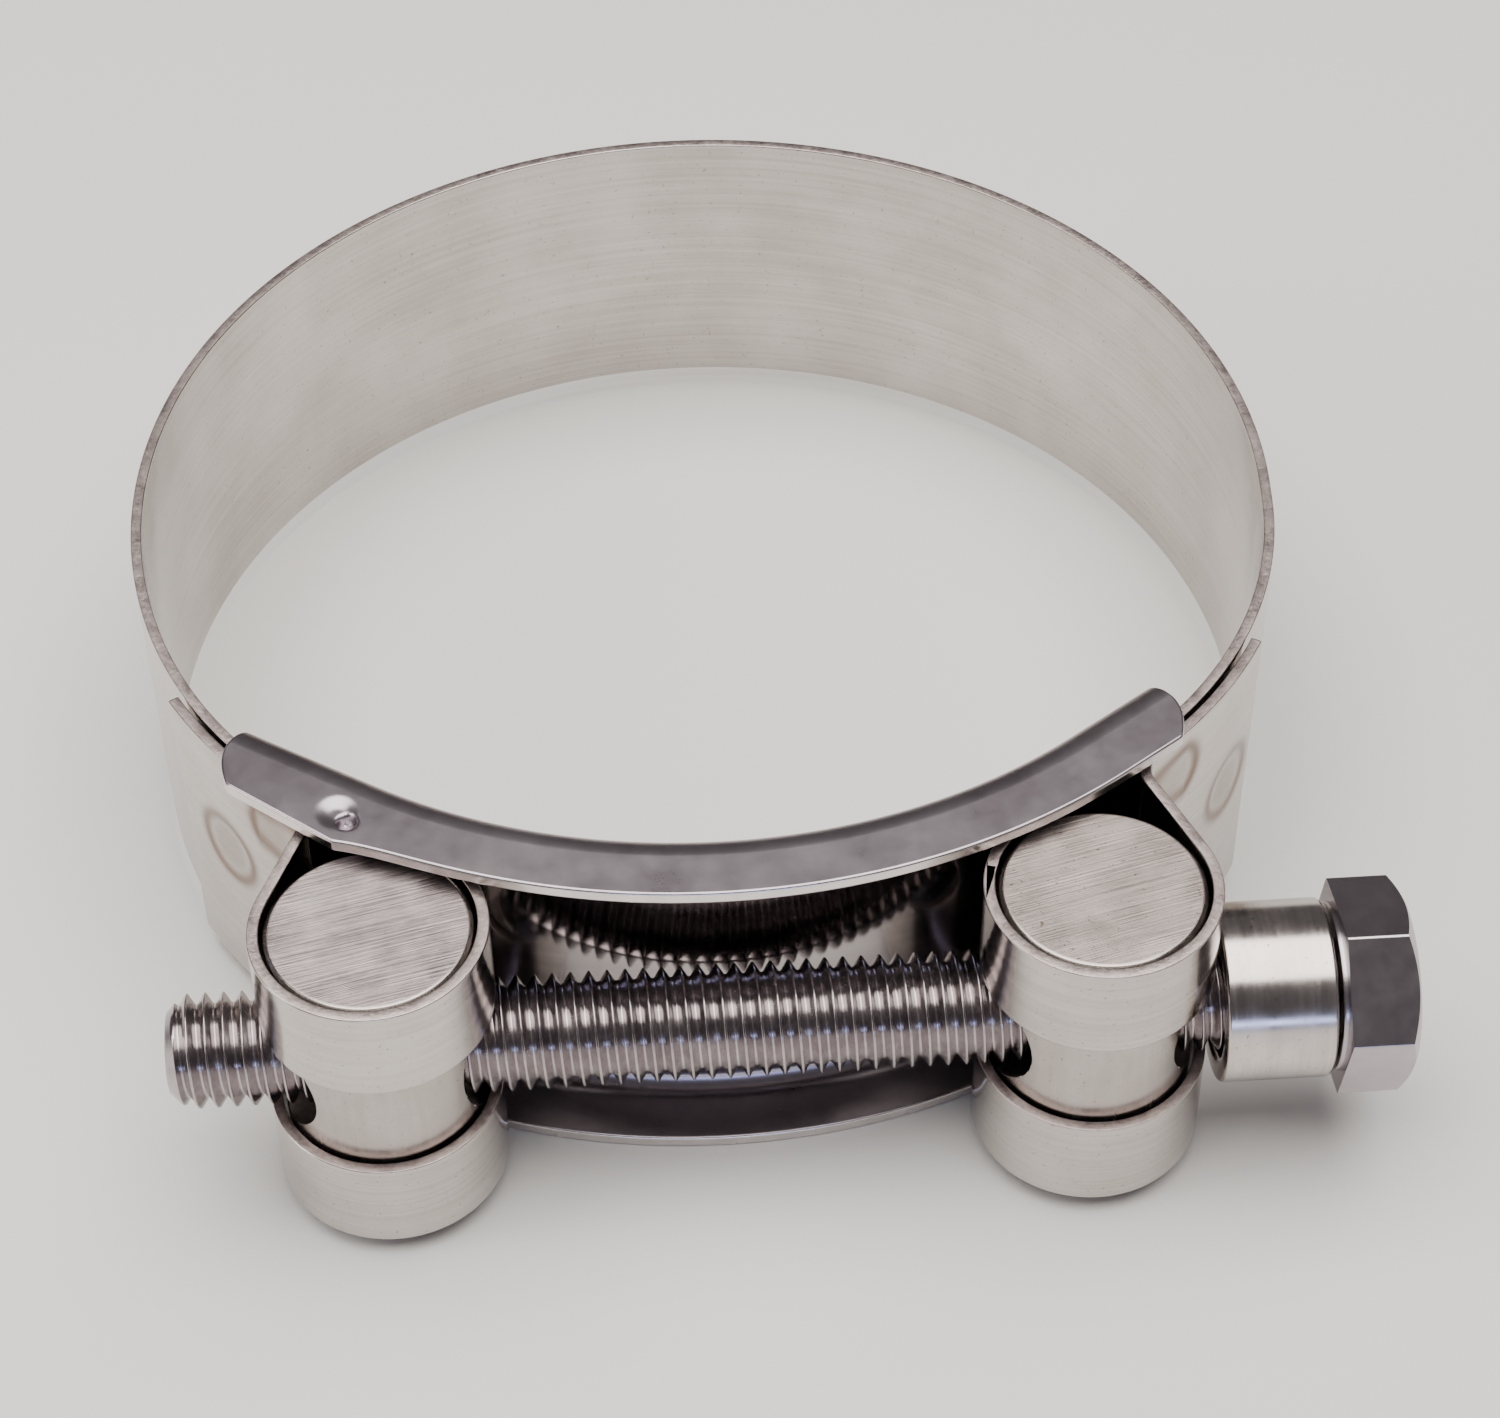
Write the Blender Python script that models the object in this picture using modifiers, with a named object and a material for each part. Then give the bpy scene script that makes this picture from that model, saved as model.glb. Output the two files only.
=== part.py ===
"""Band repair clamp: a steel band closed round a hose or pipe by one cross bolt.

Lengths below are in millimetres and become metres where meshes and objects are made.
Plan positions are measured from the ring's axis: +X towards the bolt's head, -Y towards
the bolt, and Z up from the face that the bridge plate stands on.
"""

import math

import bmesh
import bpy
from mathutils import Matrix, Vector

MM = 0.001
GAP = 0.3                       # running clearance between touching pieces

# Band: one steel strip, 24 mm wide.
STRIP = 0.8
RING_RADIUS = 41.8              # middle of the strip, from the ring's axis
BAND_WIDTH = 24.0
TAIL_OFFSET = STRIP + GAP       # middle of the strip to middle of the tail laid over it
BACK_SEGMENTS = 44
HINGE_RISE = math.radians(15)   # the band flexes about two lines, this far round from the X axis

# Bridge plate: a channel of 1 mm sheet that spans the gap in the band.
SHEET = 1.0
BRIDGE_RADIUS = 42.4            # inside of the web
BRIDGE_CENTRE = (-0.8, 6.85)
BRIDGE_TILT = math.radians(1.2)
BRIDGE_HALF_ARC = math.radians(34.1)
BRIDGE_LEFT_END = 10.5          # straight run beyond the arc
BRIDGE_RIGHT_END = 7.4
FLANGE_DEPTH = 6.1              # across the flange, web included
FLANGE_END_SLANT = 2.2          # the flange's free edge is this much shorter at each end
FLANGE_CLEARANCE = 0.7          # band edge to flange
BEND_RADIUS = 2.0               # outside of the folded corner
BRIDGE_SEGMENTS = 30
HEIGHT = BAND_WIDTH + 2 * FLANGE_CLEARANCE + 2 * SHEET
MIDDLE = HEIGHT / 2
DIMPLE = (-26.4, -32.5)
DIMPLE_BACK = (2.2, 0.9)        # radius and half-height of the bulge under the flange
DIMPLE_DISH = (1.9, 0.55)       # and of the hollow above it

# Trunnions and the cross bolt, M8 x 80.
TRUNNION_X = 24.5
BOLT_Y = -41.2
TRUNNION_RADIUS = 6.95
TRUNNION_LENGTH = 23.4
THREADED_BORE_RADIUS = 4.3
COUNTERSINK_RADIUS = 5.7        # at the crest of the threaded trunnion, where the bolt goes in
COUNTERBORE_RADIUS = 5.4        # on its far side, where the bolt comes out
COUNTERBORE_FLOOR = 3.4         # from the trunnion's axis
PLAIN_BORE_RADIUS = 5.0
THREAD_RADIUS = 3.95
BOLT_LENGTH = 80.0
HEAD_SEAT_X = 40.7
HEAD_THICKNESS = 5.3
HEAD_ACROSS_FLATS = 13.0
WASHER_FACE = 0.4
WASHER_SPREAD = 0.9             # its radius, as a share of half the head's width
CROWN_FLAT = 0.95               # radius of the head's flat end, as a share of the same
CROWN_SLOPE = math.radians(30)
TIP_CHAMFER = 0.8
HEX_TURN = math.radians(44.4)   # a flat's outward normal, up from -Y
SPACER_RADIUS = 6.2
SPACER_BORE_RADIUS = 4.45
SPACER_X = 32.8
SPACER_LENGTH = HEAD_SEAT_X - GAP - SPACER_X
CHAMFER = 0.35
TOOL_OVERRUN = 0.8              # how far a cutting shape runs past the face it opens

# Loops of the band round the trunnions, and the slot that the bolt passes through.
LOOP_RADIUS = TRUNNION_RADIUS + GAP + STRIP / 2
ROOT_RADIUS = 2.0               # bend where the loop's leg folds back along the ring
ROOT_CLEARANCE = 0.2            # the bend stands this far off the ring's own line
SLOT_HEIGHT = 8.6
SLOT_END_Y = BOLT_Y + 1.2       # centre of the slot's rounded end
SLOT_TOOL_RUN = 20.0            # more than the loop's width
WELD_RADIUS = 2.0
WELD_OVERLAP = 0.25             # how far a weld reaches into each strip

# The two ends of the band differ a little, because the bridge is fixed to the left one.
LEFT_END = {
    "side": -1,
    "corner_angle": math.radians(16.0),   # where the band starts to turn in, below the X axis
    "corner_radius": 36.0,
    "corner_bulge": 0.0,                  # how far the corner stands out past the ring's circle
    "root_angle": math.radians(130.2),    # heading from corner to root bend, clockwise from +X
    "tail_length": 10.2,                  # from where the tail joins the ring's curve to its tip
    "welds": ((math.radians(37.5), 2.0), (math.radians(47.5), 8.0)),   # angle, height over MIDDLE
}
RIGHT_END = {
    "side": 1,
    "corner_angle": math.radians(15.0),
    "corner_radius": 33.3,
    "corner_bulge": 0.16,
    "root_angle": math.radians(127.7),
    "tail_length": 10.3,
    "welds": ((math.radians(35.5), 1.0), (math.radians(49.0), 8.0)),
}

# The model's origin is the centre of the underside of its bounding box.
ORIGIN_X = ((HEAD_SEAT_X + HEAD_THICKNESS) - (RING_RADIUS + STRIP / 2)) / 2
ORIGIN_Y = ((RING_RADIUS + STRIP / 2) + (BOLT_Y - LOOP_RADIUS - STRIP / 2)) / 2


# ---------------------------------------------------------------- scene helpers

def clear_scene():
    for old in list(bpy.data.objects):
        bpy.data.objects.remove(old, do_unlink=True)


def new_collection(name):
    collection = bpy.data.collections.new(name)
    bpy.context.scene.collection.children.link(collection)
    return collection


def new_material(name, colour, roughness):
    material = bpy.data.materials.new(name)
    material.use_nodes = True
    shader = material.node_tree.nodes["Principled BSDF"]
    shader.inputs["Base Color"].default_value = (*colour, 1.0)
    shader.inputs["Roughness"].default_value = roughness
    shader.inputs["Metallic"].default_value = 1.0
    return material


def add_object(name, mesh, place, collection, parent, material=None):
    """Link a mesh whose points are relative to place, a point in ring coordinates."""
    obj = bpy.data.objects.new(name, mesh)
    collection.objects.link(obj)
    obj.parent = parent
    obj.location = Vector(place) * MM
    if material:
        mesh.materials.append(material)
    return obj


def hide_cutter(obj):
    obj.hide_render = True
    obj.display_type = 'WIRE'


def cut(obj, cutter, operation='DIFFERENCE'):
    hide_cutter(cutter)
    modifier = obj.modifiers.new(operation.lower(), 'BOOLEAN')
    modifier.operation = operation
    modifier.solver = 'EXACT'
    modifier.object = cutter


def shade_round(mesh):
    mesh.shade_smooth()
    mesh.set_sharp_from_angle(angle=math.radians(32))


# ---------------------------------------------------------------- mesh helpers

def sheet_mesh(name, rows):
    """An open surface through equal rows of points, as a shaped grid."""
    across = len(rows[0])
    bm = bmesh.new()
    bmesh.ops.create_grid(bm, x_segments=across - 1, y_segments=len(rows) - 1, size=1.0)
    for index, vert in enumerate(bm.verts):
        vert.co = Vector(rows[index // across][index % across]) * MM
    mesh = bpy.data.meshes.new(name)
    bm.to_mesh(mesh)
    bm.free()
    return mesh


def thicken(obj, thickness, offset=0.0):
    modifier = obj.modifiers.new("thickness", 'SOLIDIFY')
    modifier.thickness = thickness * MM
    modifier.offset = offset
    modifier.use_even_offset = True


def cylinder_mesh(name, radius, length, axis, sides=48, bevel=0.0):
    """A cylinder centred on its own origin, with its ends' edges broken by bevel."""
    bm = bmesh.new()
    bmesh.ops.create_cone(bm, cap_ends=True, segments=sides, radius1=radius * MM,
                          radius2=radius * MM, depth=length * MM)
    if bevel:
        rims = [edge for edge in bm.edges if abs(edge.verts[0].co.z - edge.verts[1].co.z) < 1e-6]
        bmesh.ops.bevel(bm, geom=rims, offset=bevel * MM, segments=1, affect='EDGES')
    turn = Vector((0, 0, 1)).rotation_difference(Vector(axis)).to_matrix()
    bmesh.ops.rotate(bm, verts=bm.verts, cent=(0, 0, 0), matrix=turn)
    mesh = bpy.data.meshes.new(name)
    bm.to_mesh(mesh)
    bm.free()
    shade_round(mesh)
    return mesh


def turned_object(name, profile, place, collection, parent, material=None, steps=48, closed=True):
    """A shape turned about the X axis: profile points are (radius, distance along +X).

    The profile runs down the outer side, from the +X end to the -X end.
    """
    bm = bmesh.new()
    verts = [bm.verts.new((radius * MM, 0, along * MM)) for radius, along in profile]
    for first, second in zip(verts, verts[1:]):
        bm.edges.new((first, second))
    if closed:
        bm.edges.new((verts[-1], verts[0]))
    mesh = bpy.data.meshes.new(name)
    bm.to_mesh(mesh)
    bm.free()
    obj = add_object(name, mesh, place, collection, parent, material)
    obj.rotation_euler = (0, math.pi / 2, 0)
    screw = obj.modifiers.new("turn", 'SCREW')
    screw.axis = 'Z'
    screw.steps = steps
    screw.render_steps = steps
    screw.use_merge_vertices = True
    screw.merge_threshold = 0.00001
    screw.use_normal_calculate = False
    screw.use_smooth_shade = True
    return obj


# ---------------------------------------------------------------- the band's line in plan
# The line is a chain of circles joined by tangent straights. A circle is (centre, radius),
# with the radius positive where the line turns left round it and negative where it turns right.

def left_normal(heading):
    return Vector((-math.sin(heading), math.cos(heading)))


def point_on(circle, heading):
    centre, radius = circle
    return centre - radius * left_normal(heading)


def tangent_heading(first, second):
    between = second[0] - first[0]
    lean = math.asin((second[1] - first[1]) / between.length)
    return math.atan2(between.y, between.x) - lean


def turn_between(heading, leaving, radius):
    """The turn from one heading to another, left for a positive radius."""
    turn = (leaving - heading) % math.tau
    return turn if radius > 0 else turn - math.tau


def band_line(circles, first_heading, last_heading, chord=3.2):
    """Points along the chain of circles, no further apart than about chord on an arc."""
    points = []
    heading = first_heading
    for index, circle in enumerate(circles):
        if index + 1 < len(circles):
            leaving = tangent_heading(circle, circles[index + 1])
        else:
            leaving = last_heading
        turn = turn_between(heading, leaving, circle[1])
        step = min(chord / abs(circle[1]), math.radians(18))
        count = max(1, math.ceil(abs(turn) / step))
        points += [point_on(circle, heading + turn * k / count) for k in range(count + 1)]
        heading = leaving
    return points


def end_circles(end):
    """The circles that one end of the band runs round, drawn for the left side."""
    centre = Vector((0, 0))
    reach = RING_RADIUS + end["corner_bulge"] - end["corner_radius"]
    angle = end["corner_angle"]
    corner = Vector((-reach * math.cos(angle), -reach * math.sin(angle)))
    trunnion = Vector((-TRUNNION_X, BOLT_Y))
    tail_bend = end["corner_radius"] + TAIL_OFFSET
    root_reach = tail_bend + ROOT_RADIUS + ROOT_CLEARANCE
    heading = end["root_angle"]
    root = corner + root_reach * Vector((math.cos(heading), -math.sin(heading)))
    return [
        (centre, RING_RADIUS),
        (corner, end["corner_radius"]),
        (trunnion, -LOOP_RADIUS),
        (root, ROOT_RADIUS),
        (corner, -tail_bend),
        (centre, -(RING_RADIUS + TAIL_OFFSET)),
    ]


def shortened(points, length):
    """The start of a run of points, cut off at length."""
    kept = [points[0]]
    for point in points[1:]:
        step = point - kept[-1]
        if step.length >= length:
            return kept + [kept[-1] + step * (length / step.length)]
        length -= step.length
        kept.append(point)
    return kept


def end_line(end):
    """One end of the band in plan, from its flexing line to the tip of the tail."""
    circles = end_circles(end)
    first = -math.pi / 2 - HINGE_RISE + GAP / 2 / RING_RADIUS
    root_heading = tangent_heading(circles[3], circles[4])
    arm = band_line(circles[:4], first, root_heading)
    tail = band_line(circles[4:], root_heading, math.pi / 2)
    line = arm + shortened(tail, end["tail_length"])
    return [Vector((point.x * -end["side"], point.y)) for point in line]


# ---------------------------------------------------------------- the band

def strip_mesh(name, line, origin):
    low = MIDDLE - BAND_WIDTH / 2
    high = MIDDLE + BAND_WIDTH / 2
    rows = [[(p.x - origin[0], p.y - origin[1], z) for p in line] for z in (low, high)]
    return sheet_mesh(name, rows)


def band_back(collection, parent, material):
    """The back of the ring, from one flexing line round to the other."""
    start = HINGE_RISE + GAP / 2 / RING_RADIUS
    sweep = math.pi - 2 * start
    angles = [start + sweep * k / BACK_SEGMENTS for k in range(BACK_SEGMENTS + 1)]
    line = [Vector((math.cos(a), math.sin(a))) * RING_RADIUS for a in angles]
    mesh = strip_mesh("band_back", line, (0, 0))
    thicken(add_object("band_back", mesh, (0, 0, 0), collection, parent, material), STRIP)


def bolt_slot(name, x, cutters, parent):
    """A bar with rounded edges, along X: the slot in the front of one loop."""
    width = SLOT_END_Y - (BOLT_Y - 2 * LOOP_RADIUS)
    bm = bmesh.new()
    bmesh.ops.create_cube(bm, size=1.0)
    bmesh.ops.scale(bm, vec=Vector((SLOT_TOOL_RUN, width, SLOT_HEIGHT)) * MM, verts=bm.verts)
    bmesh.ops.translate(bm, vec=Vector((0, -width / 2, 0)) * MM, verts=bm.verts)
    mesh = bpy.data.meshes.new(name)
    bm.to_mesh(mesh)
    bm.free()
    bar = add_object(name, mesh, (x, SLOT_END_Y, MIDDLE), cutters, parent)
    end = cylinder_mesh(name + "_end", SLOT_HEIGHT / 2, SLOT_TOOL_RUN + TOOL_OVERRUN, (1, 0, 0),
                        sides=24)
    return bar, add_object(name + "_end", end, (x, SLOT_END_Y, MIDDLE), cutters, parent)


def weld_nugget(name, end, weld, cutters, parent):
    """A spot weld joining the tail to the ring under it."""
    angle, rise = weld
    corner, bend = end_circles(end)[1]
    middle = bend + TAIL_OFFSET / 2
    spot = corner - middle * Vector((math.cos(angle), math.sin(angle)))
    side = -end["side"]
    axis = (side * math.cos(angle), math.sin(angle), 0)
    mesh = cylinder_mesh(name, WELD_RADIUS, GAP + 2 * WELD_OVERLAP, axis, sides=20)
    return add_object(name, mesh, (spot.x * side, spot.y, MIDDLE + rise), cutters, parent)


def band_end(name, end, collection, cutters, parent, material):
    """One side of the ring with its loop, leg and tail, and its origin on the flexing line."""
    hinge = (RING_RADIUS * math.cos(HINGE_RISE) * end["side"], RING_RADIUS * math.sin(HINGE_RISE), 0)
    arm = add_object(name, strip_mesh(name, end_line(end), hinge), hinge, collection, parent, material)
    thicken(arm, STRIP)
    for tool in bolt_slot(name + "_slot", TRUNNION_X * end["side"], cutters, parent):
        cut(arm, tool)
    for index, weld in enumerate(end["welds"]):
        cut(arm, weld_nugget(f"{name}_weld_{index}", end, weld, cutters, parent), 'UNION')


# ---------------------------------------------------------------- the bridge plate

def bridge_point(along, depth):
    """A point in plan on the bridge: along from its middle, and depth outwards from its web."""
    half_run = BRIDGE_RADIUS * BRIDGE_HALF_ARC
    arc = max(-half_run, min(half_run, along)) / BRIDGE_RADIUS
    angle = arc + BRIDGE_TILT
    outwards = Vector((math.sin(angle), -math.cos(angle)))
    onwards = Vector((math.cos(angle), math.sin(angle)))
    straight = along - arc * BRIDGE_RADIUS
    return Vector(BRIDGE_CENTRE) + (BRIDGE_RADIUS + depth) * outwards + straight * onwards


def bridge_section():
    """The sheet's outer face across the channel, as (depth, z), from the lower free edge up."""
    bend = [(BEND_RADIUS * (1 - math.sin(a)), BEND_RADIUS * (1 - math.cos(a)))
            for a in (math.radians(deg) for deg in (0, 30, 60, 90))]
    lower = [(FLANGE_DEPTH, 0.0)] + bend
    upper = [(depth, HEIGHT - z) for depth, z in reversed(lower)]
    return lower + upper


def bridge_plate(collection, cutters, parent, material):
    """A channel that stands on its lower flange, with a dimple in its upper one."""
    half_run = BRIDGE_RADIUS * BRIDGE_HALF_ARC
    start = -(half_run + BRIDGE_LEFT_END)
    stop = half_run + BRIDGE_RIGHT_END
    rows = []
    for depth, z in bridge_section():
        slant = FLANGE_END_SLANT * depth / FLANGE_DEPTH
        low, high = start + slant, stop - slant
        plan = [bridge_point(low + (high - low) * k / BRIDGE_SEGMENTS, depth)
                for k in range(BRIDGE_SEGMENTS + 1)]
        rows.append([(p.x - BRIDGE_CENTRE[0], p.y - BRIDGE_CENTRE[1], z) for p in plan])
    mesh = sheet_mesh("bridge_plate", rows)
    plate = add_object("bridge_plate", mesh, (*BRIDGE_CENTRE, 0), collection, parent, material)
    thicken(plate, SHEET, offset=1.0)
    for name, size, z, operation in (("dimple_back", DIMPLE_BACK, HEIGHT - SHEET / 2, 'UNION'),
                                     ("dimple_dish", DIMPLE_DISH, HEIGHT, 'DIFFERENCE')):
        cut(plate, dimple_tool(name, size, z, cutters, parent), operation)


def dimple_tool(name, size, z, cutters, parent):
    """A flattened ball: the dimple's raised back under the flange, or the dish above it."""
    radius, half_height = size
    bm = bmesh.new()
    bmesh.ops.create_uvsphere(bm, u_segments=20, v_segments=10, radius=1.0)
    bmesh.ops.scale(bm, vec=Vector((radius, radius, half_height)) * MM, verts=bm.verts)
    mesh = bpy.data.meshes.new(name)
    bm.to_mesh(mesh)
    bm.free()
    return add_object(name, mesh, (*DIMPLE, z), cutters, parent)


# ---------------------------------------------------------------- trunnions, bolt and spacer

def trunnion(name, side, bore_radius, collection, cutters, parent, material):
    """A round pin in one loop, drilled across for the bolt."""
    place = (TRUNNION_X * side, BOLT_Y, MIDDLE)
    mesh = cylinder_mesh(name, TRUNNION_RADIUS, TRUNNION_LENGTH, (0, 0, 1), bevel=CHAMFER)
    pin = add_object(name, mesh, place, collection, parent, material)
    drill = cylinder_mesh(name + "_drill", bore_radius, 4 * TRUNNION_RADIUS, (1, 0, 0), sides=40)
    cut(pin, add_object(name + "_drill", drill, place, cutters, parent))
    return pin


def open_mouths(pin, cutters, parent):
    """Countersink the bore where the bolt goes in, and counterbore it where it comes out."""
    reach = TRUNNION_RADIUS + TOOL_OVERRUN
    core = THREADED_BORE_RADIUS - TOOL_OVERRUN
    sink_rim = COUNTERSINK_RADIUS + reach - TRUNNION_RADIUS
    sink_floor = reach - (sink_rim - core)
    bore_floor = COUNTERBORE_FLOOR - (COUNTERBORE_RADIUS - core)
    entry = [(0, reach), (sink_rim, reach), (core, sink_floor), (0, sink_floor)]
    leaving = [(0, reach), (COUNTERBORE_RADIUS, reach), (COUNTERBORE_RADIUS, COUNTERBORE_FLOOR),
               (core, bore_floor), (0, bore_floor)]
    place = (-TRUNNION_X, BOLT_Y, MIDDLE)
    for name, profile, side in (("entry", entry, 1), ("exit", leaving, -1)):
        tool = turned_object(f"{pin.name}_{name}", profile, place, cutters, parent,
                             steps=44, closed=False)
        tool.rotation_euler = (0, side * math.pi / 2, 0)
        cut(pin, tool)


def hex_blank():
    """The head before it is crowned: a hexagonal prism along +Z, clear of its washer face."""
    corner = HEAD_ACROSS_FLATS / 2 / math.cos(math.pi / 6)
    length = HEAD_THICKNESS - WASHER_FACE
    bm = bmesh.new()
    bmesh.ops.create_cone(bm, cap_ends=True, segments=6, radius1=corner * MM,
                          radius2=corner * MM, depth=length * MM)
    bmesh.ops.translate(bm, vec=(0, 0, (WASHER_FACE + length / 2) * MM), verts=bm.verts)
    # A flat of the prism faces its own +X, which lies along -Z once the bolt is laid down.
    turn = Matrix.Rotation(-(math.pi / 2 + HEX_TURN), 3, 'Z')
    bmesh.ops.rotate(bm, verts=bm.verts, cent=(0, 0, 0), matrix=turn)
    mesh = bpy.data.meshes.new("hex_bolt")
    bm.to_mesh(mesh)
    bm.free()
    return mesh


def hex_bolt(collection, cutters, parent, material):
    """Head and shank as one piece, with its origin under the head."""
    half_flats = HEAD_ACROSS_FLATS / 2
    place = (HEAD_SEAT_X, BOLT_Y, MIDDLE)
    bolt = add_object("hex_bolt", hex_blank(), place, collection, parent, material)
    bolt.rotation_euler = (0, math.pi / 2, 0)
    flat_top = half_flats * CROWN_FLAT
    wide = half_flats * 2
    fall = (wide - flat_top) * math.tan(CROWN_SLOPE)
    base = WASHER_FACE - TOOL_OVERRUN
    crown = [(0, HEAD_THICKNESS), (flat_top, HEAD_THICKNESS), (wide, HEAD_THICKNESS - fall),
             (wide, base), (0, base)]
    cut(bolt, turned_object("head_crown", crown, place, cutters, parent, closed=False), 'INTERSECT')
    tip = -BOLT_LENGTH
    washer = half_flats * WASHER_SPREAD
    root = WASHER_FACE + TOOL_OVERRUN
    shank = [(0, root), (washer, root), (washer, 0), (THREAD_RADIUS, 0),
             (THREAD_RADIUS, tip + TIP_CHAMFER), (THREAD_RADIUS - TIP_CHAMFER, tip), (0, tip)]
    cut(bolt, turned_object("shank", shank, place, cutters, parent, steps=40, closed=False), 'UNION')


def spacer_sleeve(collection, parent, material):
    """A turned sleeve between the bolt's head and the plain trunnion's loop."""
    outer, inner, end = SPACER_RADIUS, SPACER_BORE_RADIUS, SPACER_LENGTH
    profile = [(outer - CHAMFER, end), (outer, end - CHAMFER), (outer, CHAMFER),
               (outer - CHAMFER, 0), (inner + CHAMFER, 0), (inner, CHAMFER),
               (inner, end - CHAMFER), (inner + CHAMFER, end)]
    turned_object("spacer_sleeve", profile, (SPACER_X, BOLT_Y, MIDDLE), collection, parent, material)


def main():
    clear_scene()
    parts = new_collection("pipe_repair_clamp")
    cutters = new_collection("cutters")
    ring_axis = bpy.data.objects.new("ring_axis", None)
    ring_axis.location = Vector((-ORIGIN_X, -ORIGIN_Y, 0)) * MM
    parts.objects.link(ring_axis)

    band_steel = new_material("band_steel", (0.62, 0.59, 0.57), 0.18)
    plate_steel = new_material("plate_steel", (0.50, 0.47, 0.48), 0.34)
    sawn_steel = new_material("sawn_steel", (0.60, 0.55, 0.53), 0.42)
    bolt_steel = new_material("bolt_steel", (0.45, 0.43, 0.45), 0.24)
    turned_steel = new_material("turned_steel", (0.58, 0.55, 0.54), 0.28)

    band_back(parts, ring_axis, band_steel)
    band_end("band_left_end", LEFT_END, parts, cutters, ring_axis, band_steel)
    band_end("band_right_end", RIGHT_END, parts, cutters, ring_axis, band_steel)
    bridge_plate(parts, cutters, ring_axis, plate_steel)
    threaded = trunnion("threaded_trunnion", -1, THREADED_BORE_RADIUS, parts, cutters,
                        ring_axis, sawn_steel)
    open_mouths(threaded, cutters, ring_axis)
    trunnion("plain_trunnion", 1, PLAIN_BORE_RADIUS, parts, cutters, ring_axis, sawn_steel)
    hex_bolt(parts, cutters, ring_axis, bolt_steel)
    spacer_sleeve(parts, ring_axis, turned_steel)


main()
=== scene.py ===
"""The looks of a band repair clamp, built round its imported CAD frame.

Lengths are in millimetres and become metres when a mesh is finished. Plan positions are
measured from the ring's axis: +X towards the bolt's head, -Y towards the bolt, Z up.
"""

import math

import bmesh
import bpy
from mathutils import Matrix, Vector


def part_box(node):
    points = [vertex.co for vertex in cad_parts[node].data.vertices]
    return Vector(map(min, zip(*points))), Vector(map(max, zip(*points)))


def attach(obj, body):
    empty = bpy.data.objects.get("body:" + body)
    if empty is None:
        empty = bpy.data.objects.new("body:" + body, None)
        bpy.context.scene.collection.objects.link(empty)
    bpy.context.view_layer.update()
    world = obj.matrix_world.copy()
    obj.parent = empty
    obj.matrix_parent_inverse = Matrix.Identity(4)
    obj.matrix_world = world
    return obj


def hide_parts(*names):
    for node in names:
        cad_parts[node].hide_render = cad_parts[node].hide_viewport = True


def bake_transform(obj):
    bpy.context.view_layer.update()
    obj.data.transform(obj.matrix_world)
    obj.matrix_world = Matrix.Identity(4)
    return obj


MM = 0.001

# The band.
STRIP = 0.8
RING_RADIUS = 41.8              # middle of the strip
BAND_WIDTH = 24.0
TAIL_OFFSET = STRIP + 0.3       # middle of the strip to middle of the tail laid over it
LOOP_CLEARANCE = 0.3
ROOT_RADIUS = 2.0
ROOT_CLEARANCE = 0.2
SLOT_HEIGHT = 8.6
EDGE_BREAK = 0.10               # how far a sheared edge is rounded
LEFT_END = {
    "side": -1,
    "corner_angle": math.radians(16.0),   # where the band starts to turn in, below the X axis
    "corner_radius": 36.0,
    "corner_bulge": 0.0,                  # how far the corner stands out past the ring's circle
    "root_angle": math.radians(130.2),    # heading from corner to root bend, clockwise from +X
    "tail_length": 10.2,                  # from where the tail joins the ring's curve to its tip
    "welds": ((math.radians(37.5), 2.0), (math.radians(47.5), 8.0)),   # angle, height over MIDDLE
}
RIGHT_END = {
    "side": 1,
    "corner_angle": math.radians(15.0),
    "corner_radius": 33.3,
    "corner_bulge": 0.16,
    "root_angle": math.radians(127.7),
    "tail_length": 10.3,
    "welds": ((math.radians(35.5), 1.0), (math.radians(49.0), 8.0)),
}
HALF_ROWS = 30                  # rows of faces in the strip's upper half, and in its lower half
BACK_OVERLAP = 0.45             # each half of the band is drawn this far past the back, then trimmed
CURVE_STEP = 0.45               # longest step along the band where it bends
STRAIGHT_STEP = 0.6
TAIL_STEP = 0.4
SLOT_END_ANGLES = (0.01, 4, 9, 15, 22, 30, 40, 50, 60, 70, 80, 90)   # steps round the slot's end
SAME_POINT = 1e-3               # points closer than this are one

# The spot welds' marks.
WELD_RADIUS = 2.8               # of the mark that the electrode leaves
WELD_DENT = 0.12
WELD_SLOPE = 0.7                # width of the dent's sloping side
WELD_REACH = 2.0                # how far from its middle a weld acts, through the strip
STAIN_RING_WIDTH = 0.55
STAIN_INSIDE = 0.45             # of the ring's strength
STAIN_FADE = 1.5                # width over which the stain inside the ring builds up

# The bridge plate.
SHEET = 1.0
BRIDGE_RADIUS = 42.4
BRIDGE_CENTRE = Vector((-0.8, 6.85))
BRIDGE_TILT = math.radians(1.2)
BRIDGE_HALF_ARC = math.radians(34.1)
BRIDGE_LEFT_END = 10.5              # straight run past the arc's end
BRIDGE_RIGHT_END = 7.4
HALF_RUN = BRIDGE_RADIUS * BRIDGE_HALF_ARC
FLANGE_DEPTH = 6.0
FLANGE_END_SLANT = 2.2
BEND_RADIUS = 2.5
BEND_STEPS = 8
WEB_ROWS = 14
BOTTOM_FLANGE_ROWS = 8
TOP_FLANGE_ROWS = 28                # finer, for the marks that the punch left
EDGE_ROW = 0.45                     # the mesh's first row in from the flange's free edge
COARSE_STEP = 0.6                   # along the bridge
FINE_STEP = 0.12                    # round the punch's marks
RIM_ROUNDING = 0.2
DISH = Vector((-26.5, -32.35))      # a shallow dish in the top flange
DISH_RADIUS = 1.6
DISH_DEPTH = 0.28
DISH_STEEPNESS = 1.3
PIT = Vector((-25.85, -33.2))       # and the pit that the punch left at its edge
PIT_RADIUS = 0.9
PIT_FLOOR = 0.35
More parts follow.
